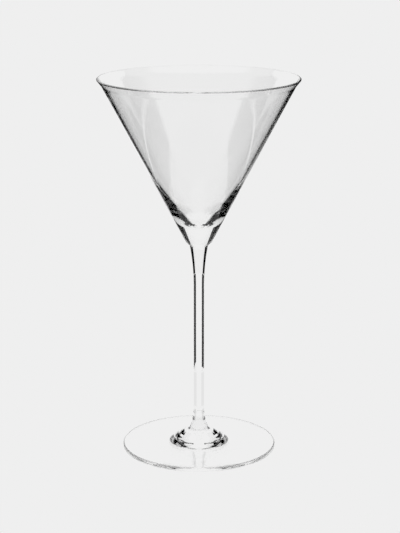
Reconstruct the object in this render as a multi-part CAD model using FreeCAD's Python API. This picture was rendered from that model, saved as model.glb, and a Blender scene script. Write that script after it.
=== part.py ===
# Martini glass: a conical bowl, a drawn stem and a round foot, three pieces of clear glass that are
# fused to each other while hot.
#
# Millimetres, +Z up. The origin is at the middle of the resting face under the foot, and Z is the axis
# of revolution of every piece. A profile is the right-hand half of a piece, as (radius, height) corners.

import FreeCAD
import Part
import math
import os

# ---------------------------------------------------------------- driving dimensions

# whole glass
GLASS_HEIGHT = 190.0
RIM_RADIUS = 50.0
FOOT_RADIUS = 39.0

# bowl
BOWL_HALF_ANGLE = 27.6        # degrees from the axis, outside of the cone
BOWL_CONE_FOOT = 6.0          # radius at which a cone from the rim comes down to the stem joint
LIP_HALF_ANGLE = 38.0         # degrees from the axis, the last stretch below the rim turns out
LIP_HEIGHT = 3.8
LIP_BLEND = 12.0
RIM_WALL = 1.1
RIM_ROUND = 0.48 * RIM_WALL   # fire-polished corners of the rim
SHOULDER_HEIGHT = 1.8         # rounded underside between the cone and the stem
SHOULDER_BLEND = 1.6
WALL_GROWTH = 0.5             # degrees by which the wall opens downwards
FLOOR_HALF_ANGLE = BOWL_HALF_ANGLE + 11.4   # the inside opens out towards its bottom
FLOOR_HEIGHT = 4.9            # from the stem joint up to the apex of the floor cone
FLOOR_BLEND_SHARE = 0.45      # share of the floor cone's slant that the blend with the wall takes
FLOOR_TIP_SHARE = 0.43        # share that the rounding of its tip takes

# fused joints
BOWL_JOINT_HEIGHT = GLASS_HEIGHT - (RIM_RADIUS - BOWL_CONE_FOOT) / math.tan(math.radians(BOWL_HALF_ANGLE))
BOWL_JOINT_RADIUS = 4.6       # stem on the underside of the bowl
FOOT_JOINT_HEIGHT = 11.9      # stem on the boss of the foot
FOOT_JOINT_RADIUS = 3.9

# stem
STEM_RADIUS = 2.6
STEM_TOP_FLARE = 21.0         # length over which the stem widens to the bowl
STEM_BOTTOM_FLARE = 9.0       # length over which the stem widens to the foot

# foot
FOOT_EDGE = 2.2               # thickness at the edge
FOOT_EDGE_ROUND = 0.8
FOOT_TOP_SLOPE = 2.0          # degrees
FOOT_REST_WIDTH = 4.0         # flat ring that the glass stands on
FOOT_HOLLOW = 0.6             # rise of the underside at the middle
BOSS_RADIUS = 15.0            # where the boss rises from the disc
BOSS_TOE_BLEND = 1.5
# corners of the boss above its toe, as radius, height and rounding: two low steps, the brow and the neck
BOSS_CORNERS = [
    (13.2, 4.7, 1.2),
    (12.0, 5.1, 1.2),
    (10.6, 6.4, 1.2),
    (9.4, 6.8, 1.2),
    (7.6, 8.2, 1.5),
    (5.0, 8.9, 2.0),
]


# ---------------------------------------------------------------- geometry helpers

def point(radius, height):
    return FreeCAD.Vector(radius, 0, height)


def corner_arc(before, here, after, rounding):
    """Arc of a rounded corner, as its start, middle and end."""
    back = (before - here).normalize()
    ahead = (after - here).normalize()
    half_angle = back.getAngle(ahead) / 2
    reach = rounding / math.tan(half_angle)
    depth = rounding / math.sin(half_angle) - rounding
    middle = here + (back + ahead).normalize() * depth
    return here + back * reach, middle, here + ahead * reach


def add_line(edges, start, end):
    """Adds a straight edge, unless a rounding has already come to its end."""
    if not start.isEqual(end, 1e-6):
        edges.append(Part.LineSegment(start, end).toShape())


def rounded_profile(corners, tip_round=0.0):
    """Closed wire through (radius, height, rounding) corners that start and end on the axis.

    tip_round rounds the last corner, where the profile comes back to the axis."""
    edges = []
    last = point(*corners[0][:2])
    for index in range(1, len(corners) - 1):
        here = point(*corners[index][:2])
        rounding = corners[index][2]
        if rounding == 0:
            add_line(edges, last, here)
            last = here
            continue
        before = point(*corners[index - 1][:2])
        after = point(*corners[index + 1][:2])
        start, middle, end = corner_arc(before, here, after, rounding)
        add_line(edges, last, start)
        edges.append(Part.Arc(start, middle, end).toShape())
        last = end
    tip = point(*corners[-1][:2])
    if tip_round:
        side = point(*corners[-2][:2])
        mirrored = point(-side.x, side.z)
        start, middle, _ = corner_arc(side, tip, mirrored, tip_round)
        centre = point(0, middle.z + tip_round)
        halfway = centre + ((start + middle) / 2 - centre).normalize() * tip_round
        add_line(edges, last, start)
        edges.append(Part.Arc(start, halfway, middle).toShape())
        tip = middle
    else:
        add_line(edges, last, tip)
    add_line(edges, tip, point(*corners[0][:2]))
    return Part.Wire(edges)


def turned(wire):
    """Solid of revolution of a profile about the Z axis."""
    return Part.Face(wire).revolve(FreeCAD.Vector(0, 0, 0), FreeCAD.Vector(0, 0, 1), 360)


def flare_bend(widening, rise):
    """Radius of the arc that leaves parallel to the axis and widens by so much over such a rise."""
    return (rise ** 2 + widening ** 2) / (2 * widening)


def flare_arc(radius, height, widening, rise):
    """That arc, from (radius, height). A negative rise takes it downwards."""
    bend = flare_bend(widening, rise)
    half_turn = math.asin(rise / bend) / 2
    middle = point(radius + bend * (1 - math.cos(half_turn)), height + bend * math.sin(half_turn))
    return Part.Arc(point(radius, height), middle, point(radius + widening, height + rise))


# ---------------------------------------------------------------- pieces

def make_bowl():
    outer_slope = math.tan(math.radians(BOWL_HALF_ANGLE))
    inner_slope = math.tan(math.radians(BOWL_HALF_ANGLE + WALL_GROWTH))
    floor_slope = math.tan(math.radians(FLOOR_HALF_ANGLE))
    lip_lean = math.radians(LIP_HALF_ANGLE)
    # the rim is a bead as wide as the wall, square across the lip before its corners are rounded
    bead = RIM_WALL / 2
    bead_centre = point(RIM_RADIUS - bead, GLASS_HEIGHT - bead)
    along_lip = point(math.sin(lip_lean), math.cos(lip_lean)) * bead
    across_lip = point(math.cos(lip_lean), -math.sin(lip_lean)) * bead
    outer_rim = bead_centre + along_lip + across_lip
    inner_rim = bead_centre + along_lip - across_lip
    lip_base = GLASS_HEIGHT - LIP_HEIGHT
    outer_lip_radius = outer_rim.x - (outer_rim.z - lip_base) * math.tan(lip_lean)
    inner_lip_radius = outer_lip_radius - RIM_WALL / math.cos(math.radians(BOWL_HALF_ANGLE))
    shoulder_height = BOWL_JOINT_HEIGHT + SHOULDER_HEIGHT
    shoulder_radius = outer_lip_radius - (lip_base - shoulder_height) * outer_slope
    # without its blend, the wall would meet the floor cone in a corner this far above the apex
    apex_height = BOWL_JOINT_HEIGHT + FLOOR_HEIGHT
    wall_at_apex = inner_lip_radius - (lip_base - apex_height) * inner_slope
    corner_rise = wall_at_apex / (floor_slope - inner_slope)
    floor_slant = corner_rise / math.cos(math.radians(FLOOR_HALF_ANGLE))
    floor_turn = math.radians(FLOOR_HALF_ANGLE - BOWL_HALF_ANGLE - WALL_GROWTH)
    floor_blend = FLOOR_BLEND_SHARE * floor_slant / math.tan(floor_turn / 2)
    tip_round = FLOOR_TIP_SHARE * floor_slant * floor_slope
    return turned(rounded_profile([
        (0, BOWL_JOINT_HEIGHT, 0),
        (BOWL_JOINT_RADIUS, BOWL_JOINT_HEIGHT, 0),
        (shoulder_radius, shoulder_height, SHOULDER_BLEND),
        (outer_lip_radius, lip_base, LIP_BLEND),
        (outer_rim.x, outer_rim.z, RIM_ROUND),
        (inner_rim.x, inner_rim.z, RIM_ROUND),
        (inner_lip_radius, lip_base, LIP_BLEND),
        (corner_rise * floor_slope, apex_height + corner_rise, floor_blend),
        (0, apex_height, 0),
    ], tip_round))


def make_stem():
    rod_bottom = FOOT_JOINT_HEIGHT + STEM_BOTTOM_FLARE
    rod_top = BOWL_JOINT_HEIGHT - STEM_TOP_FLARE
    bottom_flare = flare_arc(STEM_RADIUS, rod_bottom, FOOT_JOINT_RADIUS - STEM_RADIUS, -STEM_BOTTOM_FLARE)
    top_flare = flare_arc(STEM_RADIUS, rod_top, BOWL_JOINT_RADIUS - STEM_RADIUS, STEM_TOP_FLARE)
    sides = [
        Part.LineSegment(point(0, FOOT_JOINT_HEIGHT), point(FOOT_JOINT_RADIUS, FOOT_JOINT_HEIGHT)),
        bottom_flare,
        Part.LineSegment(point(STEM_RADIUS, rod_bottom), point(STEM_RADIUS, rod_top)),
        top_flare,
        Part.LineSegment(point(BOWL_JOINT_RADIUS, BOWL_JOINT_HEIGHT), point(0, BOWL_JOINT_HEIGHT)),
        Part.LineSegment(point(0, BOWL_JOINT_HEIGHT), point(0, FOOT_JOINT_HEIGHT)),
    ]
    return turned(Part.Wire([side.toShape() for side in sides]))


def make_foot():
    boss_toe = FOOT_EDGE + (FOOT_RADIUS - BOSS_RADIUS) * math.tan(math.radians(FOOT_TOP_SLOPE))
    blank = turned(rounded_profile([
        (0, 0, 0),
        (FOOT_RADIUS, 0, FOOT_EDGE_ROUND),
        (FOOT_RADIUS, FOOT_EDGE, FOOT_EDGE_ROUND),
        (BOSS_RADIUS, boss_toe, BOSS_TOE_BLEND),
        *BOSS_CORNERS,
        (FOOT_JOINT_RADIUS, FOOT_JOINT_HEIGHT, 0),
        (0, FOOT_JOINT_HEIGHT, 0),
    ]))
    # the underside is a shallow dome inside the resting ring
    dome_edge = FOOT_RADIUS - FOOT_EDGE_ROUND - FOOT_REST_WIDTH
    dome_radius = (dome_edge ** 2 + FOOT_HOLLOW ** 2) / (2 * FOOT_HOLLOW)
    return blank.cut(Part.makeSphere(dome_radius, point(0, FOOT_HOLLOW - dome_radius)))


def main():
    os.makedirs("parts", exist_ok=True)
    pieces = {"bowl": make_bowl(), "stem": make_stem(), "foot": make_foot()}
    for node, shape in pieces.items():
        shape.exportStep(f"parts/{node}.step")
        print(f"{node}: valid {shape.isValid()}, volume {shape.Volume / 1000:.2f} cm3, box {shape.BoundBox}")


main()
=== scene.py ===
"""Martini glass: a conical bowl, a drawn stem and a round foot of clear glass, in a bright-field studio.

Profiles are in millimetres, as (radius, height); everything in the scene is in metres."""

import math

import bpy
import numpy as np
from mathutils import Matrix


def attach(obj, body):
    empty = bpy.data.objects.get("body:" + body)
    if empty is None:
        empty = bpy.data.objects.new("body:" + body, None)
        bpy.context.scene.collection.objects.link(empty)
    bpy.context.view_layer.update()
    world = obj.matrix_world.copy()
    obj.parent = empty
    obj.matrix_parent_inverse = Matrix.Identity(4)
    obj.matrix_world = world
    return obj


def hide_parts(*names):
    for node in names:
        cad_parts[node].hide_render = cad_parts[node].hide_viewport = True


MM = 0.001
SEGMENTS = 288                # round the axis
ARC_STEP = math.radians(1.8)  # along a rounding of the profile
ARC_POINTS_LEAST = 6
TIP_POINTS = 24               # along the rounded tip of the bowl's floor
FLARE_POINTS = 20
ROD_POINTS = 24
DOME_POINTS = 16
ON_AXIS = 1e-6                # mm, a radius below this is one point

# ---------------------------------------------------------------- the glass, as in the CAD

GLASS_HEIGHT = 190.0
RIM_RADIUS = 50.0
FOOT_RADIUS = 39.0

BOWL_HALF_ANGLE = 27.6
BOWL_CONE_FOOT = 6.0
LIP_HALF_ANGLE = 38.0
LIP_HEIGHT = 3.8
LIP_BLEND = 12.0
RIM_WALL = 1.1
RIM_ROUND = 0.48 * RIM_WALL
SHOULDER_HEIGHT = 1.8
SHOULDER_BLEND = 1.6
WALL_GROWTH = 0.5
FLOOR_HALF_ANGLE = BOWL_HALF_ANGLE + 11.4
FLOOR_HEIGHT = 4.9
FLOOR_BLEND_SHARE = 0.45
FLOOR_TIP_SHARE = 0.43

BOWL_JOINT_HEIGHT = GLASS_HEIGHT - (RIM_RADIUS - BOWL_CONE_FOOT) / math.tan(math.radians(BOWL_HALF_ANGLE))
BOWL_JOINT_RADIUS = 4.6
FOOT_JOINT_HEIGHT = 11.9
FOOT_JOINT_RADIUS = 3.9

STEM_RADIUS = 2.6
STEM_TOP_FLARE = 21.0
STEM_BOTTOM_FLARE = 9.0

FOOT_EDGE = 2.2
FOOT_EDGE_ROUND = 0.8
FOOT_TOP_SLOPE = 2.0
FOOT_REST_WIDTH = 4.0
FOOT_HOLLOW = 0.6
BOSS_RADIUS = 15.0
BOSS_TOE_BLEND = 1.5
# radius, height and rounding
BOSS_CORNERS = [
    (13.2, 4.7, 1.2),
    (12.0, 5.1, 1.2),
    (10.6, 6.4, 1.2),
    (9.4, 6.8, 1.2),
    (7.6, 8.2, 1.5),
    (5.0, 8.9, 2.0),
]


def slope(degrees):
    return math.tan(math.radians(degrees))


def rounded(before, here, after, rounding):
    """Points of the arc that rounds a corner."""
    before, here, after = (np.array(c[:2], float) for c in (before, here, after))
    back = (before - here) / np.linalg.norm(before - here)
    ahead = (after - here) / np.linalg.norm(after - here)
    half_angle = math.acos(float(np.clip(back @ ahead, -1, 1))) / 2
    reach = rounding / math.tan(half_angle)
    inwards = (back + ahead) / np.linalg.norm(back + ahead)
    centre = here + inwards * (rounding / math.sin(half_angle))
    first = here + back * reach - centre
    last = here + ahead * reach - centre
    start = math.atan2(first[1], first[0])
    turn = (math.atan2(last[1], last[0]) - start + math.pi) % (2 * math.pi) - math.pi
    count = max(ARC_POINTS_LEAST, int(abs(turn) / ARC_STEP) + 2)
    return [tuple(centre + rounding * np.array([math.cos(start + turn * t), math.sin(start + turn * t)]))
            for t in np.linspace(0, 1, count)]


def profile(corners):
    """Points along (radius, height, rounding) corners; the two ends are kept sharp."""
    points = [corners[0][:2]]
    for before, here, after in zip(corners, corners[1:], corners[2:]):
        if here[2]:
            points += rounded(before, here, after, here[2])
        else:
            points.append(here[:2])
    points.append(corners[-1][:2])
    return points


def bowl_profile():
    """From the joint up the outside, over the rim and down the inside to the axis."""
    lip_lean = math.radians(LIP_HALF_ANGLE)
    bead = RIM_WALL / 2
    bead_centre = np.array([RIM_RADIUS - bead, GLASS_HEIGHT - bead])
    along_lip = np.array([math.sin(lip_lean), math.cos(lip_lean)]) * bead
    across_lip = np.array([math.cos(lip_lean), -math.sin(lip_lean)]) * bead
    outer_rim = bead_centre + along_lip + across_lip
    inner_rim = bead_centre + along_lip - across_lip
    lip_base = GLASS_HEIGHT - LIP_HEIGHT
    outer_lip_radius = outer_rim[0] - (outer_rim[1] - lip_base) * math.tan(lip_lean)
    inner_lip_radius = outer_lip_radius - RIM_WALL / math.cos(math.radians(BOWL_HALF_ANGLE))
    shoulder_height = BOWL_JOINT_HEIGHT + SHOULDER_HEIGHT
    shoulder_radius = outer_lip_radius - (lip_base - shoulder_height) * slope(BOWL_HALF_ANGLE)
    apex_height = BOWL_JOINT_HEIGHT + FLOOR_HEIGHT
    inner_slope = slope(BOWL_HALF_ANGLE + WALL_GROWTH)
    floor_slope = slope(FLOOR_HALF_ANGLE)
    wall_at_apex = inner_lip_radius - (lip_base - apex_height) * inner_slope
    corner_rise = wall_at_apex / (floor_slope - inner_slope)
    floor_slant = corner_rise / math.cos(math.radians(FLOOR_HALF_ANGLE))
    floor_turn = math.radians(FLOOR_HALF_ANGLE - BOWL_HALF_ANGLE - WALL_GROWTH)
    floor_blend = FLOOR_BLEND_SHARE * floor_slant / math.tan(floor_turn / 2)
    tip_round = FLOOR_TIP_SHARE * floor_slant * floor_slope
    points = profile([
        (BOWL_JOINT_RADIUS, BOWL_JOINT_HEIGHT, 0),
        (shoulder_radius, shoulder_height, SHOULDER_BLEND),
        (outer_lip_radius, lip_base, LIP_BLEND),
        (outer_rim[0], outer_rim[1], RIM_ROUND),
        (inner_rim[0], inner_rim[1], RIM_ROUND),
        (inner_lip_radius, lip_base, LIP_BLEND),
        (corner_rise * floor_slope, apex_height + corner_rise, floor_blend),
        (0, apex_height, 0),
    ])[:-1]
    # the floor cone ends in a rounded tip
    tip_turn = math.pi / 2 - math.radians(FLOOR_HALF_ANGLE)
    tip_centre = apex_height + tip_round / math.sin(math.radians(FLOOR_HALF_ANGLE))
    points += [(tip_round * math.sin(a), tip_centre - tip_round * math.cos(a))
               for a in np.linspace(tip_turn, 0, TIP_POINTS)]
    return points


def flare(radius, height, widening, rise):
    """Points of an arc that leaves parallel to the axis and widens over that rise."""
    bend = (rise ** 2 + widening ** 2) / (2 * widening)
    turn = math.asin(rise / bend)
    return [(radius + bend * (1 - math.cos(turn * t)), height + bend * math.sin(turn * t))
            for t in np.linspace(0, 1, FLARE_POINTS)]


def stem_profile():
    """From the foot up to the bowl."""
    rod_bottom = FOOT_JOINT_HEIGHT + STEM_BOTTOM_FLARE
    rod_top = BOWL_JOINT_HEIGHT - STEM_TOP_FLARE
    lower = flare(STEM_RADIUS, rod_bottom, FOOT_JOINT_RADIUS - STEM_RADIUS, -STEM_BOTTOM_FLARE)[::-1]
    upper = flare(STEM_RADIUS, rod_top, BOWL_JOINT_RADIUS - STEM_RADIUS, STEM_TOP_FLARE)
    rod = [(STEM_RADIUS, z) for z in np.linspace(rod_bottom, rod_top, ROD_POINTS)[1:-1]]
    return lower + rod + upper


def foot_profile():
    """From the middle of the underside, over the edge and up the boss to the joint."""
    boss_toe = FOOT_EDGE + (FOOT_RADIUS - BOSS_RADIUS) * slope(FOOT_TOP_SLOPE)
    dome_edge = FOOT_RADIUS - FOOT_EDGE_ROUND - FOOT_REST_WIDTH
    underside = [(dome_edge * t, FOOT_HOLLOW * (1 - t * t)) for t in np.linspace(0, 1, DOME_POINTS)]
    top = profile([
        (dome_edge, 0, 0),
        (FOOT_RADIUS, 0, FOOT_EDGE_ROUND),
        (FOOT_RADIUS, FOOT_EDGE, FOOT_EDGE_ROUND),
        (BOSS_RADIUS, boss_toe, BOSS_TOE_BLEND),
        *BOSS_CORNERS,
        (FOOT_JOINT_RADIUS, FOOT_JOINT_HEIGHT, 0),
    ])
    return underside + top[1:]


# ---------------------------------------------------------------- meshes and nodes

def new_object(name, vertices, faces, material, smooth=True):
    mesh = bpy.data.meshes.new(name)
    mesh.from_pydata(vertices, [], faces)
    mesh.polygons.foreach_set("use_smooth", [smooth] * len(mesh.polygons))
    mesh.materials.append(material)
    obj = bpy.data.objects.new(name, mesh)
    bpy.context.scene.collection.objects.link(obj)
    return obj


def lathe(name, points, material):
    """Turns a profile about the axis. Going up the outside, its faces look outwards."""
    turns = [2 * math.pi * k / SEGMENTS for k in range(SEGMENTS)]
    vertices, faces, rings = [], [], []
    for radius, height in points:
        first = len(vertices)
        if radius < ON_AXIS:
            vertices.append((0, 0, height * MM))
            rings.append([first] * SEGMENTS)
        else:
            vertices += [(radius * MM * math.cos(t), radius * MM * math.sin(t), height * MM) for t in turns]
            rings.append(list(range(first, first + SEGMENTS)))
    for lower, upper in zip(rings, rings[1:]):
        for k in range(SEGMENTS):
            j = (k + 1) % SEGMENTS
            corners = [lower[k], lower[j], upper[j], upper[k]]
            faces.append(list(dict.fromkeys(corners)))
    return new_object(name, vertices, faces, material)


def add_node(tree, kind, inputs=None, **settings):
    node = tree.nodes.new(kind)
    for key, value in settings.items():
        setattr(node, key, value)
    for key, value in (inputs or {}).items():
        if isinstance(value, bpy.types.NodeSocket):
            tree.links.new(value, node.inputs[key])
        else:
            node.inputs[key].default_value = value
    return node


def grid_faces(columns, rows):
    """Quads between neighbouring columns of points, each column that many rows tall."""
    return [(c * rows + r, (c + 1) * rows + r, (c + 1) * rows + r + 1, c * rows + r + 1)
            for c in range(columns - 1) for r in range(rows - 1)]


# ---------------------------------------------------------------- the glass

GLASS_INDEX = 1.5
RIPPLE_DEPTH = 0.00002
WIPE_SCALE = 45.0             # wiping marks per metre
WIPE_FROM = 0.56              # how rarely they show
WIPE_ROUGHNESS = 0.12


def glass_material(name, ripple_stretch):
    """Clear glass, with the faint ripples of its making and the last traces of wiping it dry."""
    material = bpy.data.materials.new(name)
    material.use_nodes = True
    tree = material.node_tree
    surface = tree.nodes["Principled BSDF"]
    place = add_node(tree, "ShaderNodeTexCoord").outputs["Object"]
    stretched = add_node(tree, "ShaderNodeMapping", {"Vector": place, "Scale": ripple_stretch}).outputs[0]
    ripples = add_node(tree, "ShaderNodeTexNoise", {"Vector": stretched, "Scale": 1.0, "Detail": 1.5})
    bump = add_node(tree, "ShaderNodeBump", {"Strength": 1.0, "Distance": RIPPLE_DEPTH,
                                             "Height": ripples.outputs["Fac"]})
    tree.links.new(bump.outputs[0], surface.inputs["Normal"])
    marks = add_node(tree, "ShaderNodeTexNoise", {"Vector": place, "Scale": WIPE_SCALE, "Detail": 5.0,
                                                  "Distortion": 1.5})
    wiped = add_node(tree, "ShaderNodeMapRange", {"Value": marks.outputs["Fac"], "From Min": WIPE_FROM,
                                                  "From Max": 1.0, "To Min": 0.0, "To Max": WIPE_ROUGHNESS})
    tree.links.new(wiped.outputs[0], surface.inputs["Roughness"])
    surface.inputs["Base Color"].default_value = (1, 1, 1, 1)
    surface.inputs["IOR"].default_value = GLASS_INDEX
    surface.inputs["Transmission Weight"].default_value = 1.0
    return material


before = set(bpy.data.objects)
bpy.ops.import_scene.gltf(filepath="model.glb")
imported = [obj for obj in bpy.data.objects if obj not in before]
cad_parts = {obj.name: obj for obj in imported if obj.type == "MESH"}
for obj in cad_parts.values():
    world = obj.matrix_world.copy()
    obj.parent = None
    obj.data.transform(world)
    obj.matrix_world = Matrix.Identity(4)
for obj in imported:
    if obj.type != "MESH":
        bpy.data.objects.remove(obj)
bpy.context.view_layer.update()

# profile, and ripples per metre along X, Y and Z
PIECES = {
    "bowl": (bowl_profile(), (40, 40, 220)),
    "stem": (stem_profile(), (150, 150, 25)),
    "foot": (foot_profile(), (70, 70, 70)),
}
for node, (points, stretch) in PIECES.items():
    piece = lathe(f"glass_{node}", points, glass_material(f"{node}_glass", stretch))
    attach(piece, "root")
    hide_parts(node)

# ---------------------------------------------------------------- the studio

# Black flags stand close beside the glass, in two tiers, and a dark screen hangs far round the camera's side
# of it, under a brighter ceiling. They stand still, so they suit the main view: from the side, the glass has
# a flag behind it. Angles are in degrees from straight behind the glass, and lengths in metres.
SKY_LEVEL = 0.863             # the even pale grey behind the glass
FLOOR_HALF_SIZE = 6.0
FLOOR_DROP = 0.0001
SIDES = ((-1, "left"), (1, "right"))
STUDIO_STEPS = 61             # points along a flag or a shade
FLAGS = [                     # name, radius, start, end, bottom, top
    ("low", 0.125, 25.0, 120.0, 0.0, 0.068),
    ("high", 0.13, 30.0, 120.0, 0.068, 0.215),
]
LOW_FLAG_LIFTS = {"left": 0.002, "right": 0.005}   # of the inner corners, which taper to the floor
LOW_FLAG_TAPER = 40.0
SHADE_FROM = 20.0             # a faint shade lies on the floor, all round but straight behind
SHADE_INNER = 0.058
SHADE_OUTER = 0.12
SHADE_LEVEL = 0.77
SCREEN_RADIUS = 3.0
SCREEN_FROM = 60.0
SCREEN_CENTRE = 0.1
SCREEN_BANDS = [(0.0, 0.0), (36.0, 0.0), (40.0, 0.42), (52.0, 0.42), (56.0, SKY_LEVEL)]   # elevation, level
SCREEN_BOTTOM = -3.0          # elevation
SCREEN_ROWS = 40
SCREEN_COLUMNS = 97


def light_material(name, level):
    """White light of its own, the same all over."""
    material = bpy.data.materials.new(name)
    material.use_nodes = True
    tree = material.node_tree
    tree.nodes.clear()
    glow = add_node(tree, "ShaderNodeEmission", {"Color": (1, 1, 1, 1), "Strength": level})
    add_node(tree, "ShaderNodeOutputMaterial", {"Surface": glow.outputs[0]})
    return material


def stand_by(obj):
    """A part of the studio that shows only in the glass."""
    obj.visible_camera = False
    obj.visible_diffuse = False
    obj.visible_shadow = False


def lay_floor():
    """The pale floor, a little below the foot so that the two faces don't touch."""
    half = FLOOR_HALF_SIZE
    corners = [(x, y, -FLOOR_DROP) for x, y in ((-half, -half), (half, -half), (half, half), (-half, half))]
    material = light_material("pale_floor", SKY_LEVEL)
    new_object("floor", corners, [(0, 1, 2, 3)], material, smooth=False)


def hang_flags():
    """Both tiers of black flags, left and right."""
    black = light_material("black_flag", 0.0)
    for name, radius, start, end, bottom, top in FLAGS:
        for side, label in SIDES:
            vertices = []
            turns = np.radians(np.linspace(start, end, STUDIO_STEPS))
            lift = LOW_FLAG_LIFTS[label] if name == "low" else 0.0
            for turn in turns:
                x, y = side * radius * math.sin(turn), radius * math.cos(turn)
                taper = max(0.0, 1 - (math.degrees(turn) - start) / LOW_FLAG_TAPER)
                vertices += [(x, y, bottom + lift * taper), (x, y, top)]
            stand_by(new_object(f"flag_{name}_{label}", vertices, grid_faces(len(turns), 2), black))


def lay_shade():
    """A faint shade on the floor round the foot, in a left and a right half."""
    shade = light_material("floor_shade", SHADE_LEVEL)
    for side, label in SIDES:
        turns = np.radians(np.linspace(SHADE_FROM, 180, STUDIO_STEPS))
        vertices = [(side * radius * math.sin(turn), radius * math.cos(turn), 0.0)
                    for turn in turns for radius in (SHADE_INNER, SHADE_OUTER)]
        stand_by(new_object(f"floor_shade_{label}", vertices, grid_faces(len(turns), 2), shade))


def screen_material():
    """Light in the screen's bands, by elevation above its centre."""
    material = light_material("dark_screen", 1.0)
    tree = material.node_tree
    place = add_node(tree, "ShaderNodeNewGeometry").outputs["Position"]
    height = add_node(tree, "ShaderNodeSeparateXYZ", {0: place}).outputs["Z"]
    above = add_node(tree, "ShaderNodeMath", {0: height, 1: SCREEN_CENTRE}, operation="SUBTRACT")
    sine = add_node(tree, "ShaderNodeMath", {0: above.outputs[0], 1: SCREEN_RADIUS}, operation="DIVIDE")
    elevation = add_node(tree, "ShaderNodeMath", {0: sine.outputs[0]}, operation="ARCSINE")
    share = add_node(tree, "ShaderNodeMath", {0: elevation.outputs[0], 1: math.pi / 2}, operation="DIVIDE")
    ramp = add_node(tree, "ShaderNodeValToRGB", {"Fac": share.outputs[0]})
    stops = ramp.color_ramp.elements
    while len(stops) < len(SCREEN_BANDS):
        stops.new(0.5)
    for stop, (degrees, level) in zip(stops, SCREEN_BANDS):
        stop.position = degrees / 90
        stop.color = (level, level, level, 1)
    tree.links.new(ramp.outputs["Color"], tree.nodes["Emission"].inputs["Color"])
    return material


def hang_screen():
    """A part of a sphere round the glass, open behind it and above the last band."""
    rows = np.radians(np.linspace(SCREEN_BOTTOM, SCREEN_BANDS[-1][0], SCREEN_ROWS))
    columns = np.radians(np.linspace(SCREEN_FROM, 360 - SCREEN_FROM, SCREEN_COLUMNS))
    vertices = [(SCREEN_RADIUS * math.sin(a) * math.cos(e), SCREEN_RADIUS * math.cos(a) * math.cos(e),
                 SCREEN_CENTRE + SCREEN_RADIUS * math.sin(e)) for a in columns for e in rows]
    stand_by(new_object("screen", vertices, grid_faces(len(columns), len(rows)), screen_material()))


sky = bpy.data.worlds.new("studio")
sky.use_nodes = True
sky.node_tree.nodes["Background"].inputs["Color"].default_value = (1, 1, 1, 1)
sky.node_tree.nodes["Background"].inputs["Strength"].default_value = SKY_LEVEL
bpy.context.scene.world = sky
lay_floor()
hang_flags()
lay_shade()
hang_screen()

# ---------------------------------------------------------------- the camera and the light paths

CAMERA_PLACE = (0.00055, -0.7887, 0.2975)
CAMERA_DIP = 14.41            # degrees below level
CAMERA_LENS = 109.49          # millimetres, as is the sensor
SENSOR_WIDTH = 36
FARTHEST = 100                # metres that the camera sees
BOUNCES = 400                 # fewer lose the light that runs inside the thin wall, and its edges go black
CLEAR_BOUNCES = 24

camera = bpy.data.objects.new("camera", bpy.data.cameras.new("camera"))
bpy.context.scene.collection.objects.link(camera)
bpy.context.scene.camera = camera
camera.location = CAMERA_PLACE
camera.rotation_euler = (math.radians(90 - CAMERA_DIP), 0, 0)
camera.data.lens = CAMERA_LENS
camera.data.sensor_width = SENSOR_WIDTH
camera.data.clip_end = FARTHEST

scene = bpy.context.scene
scene.view_settings.view_transform = "Standard"
scene.cycles.max_bounces = BOUNCES
scene.cycles.transmission_bounces = BOUNCES
scene.cycles.glossy_bounces = BOUNCES
scene.cycles.transparent_max_bounces = CLEAR_BOUNCES
scene.cycles.caustics_refractive = True
scene.cycles.caustics_reflective = True
scene.cycles.blur_glossy = 0.0
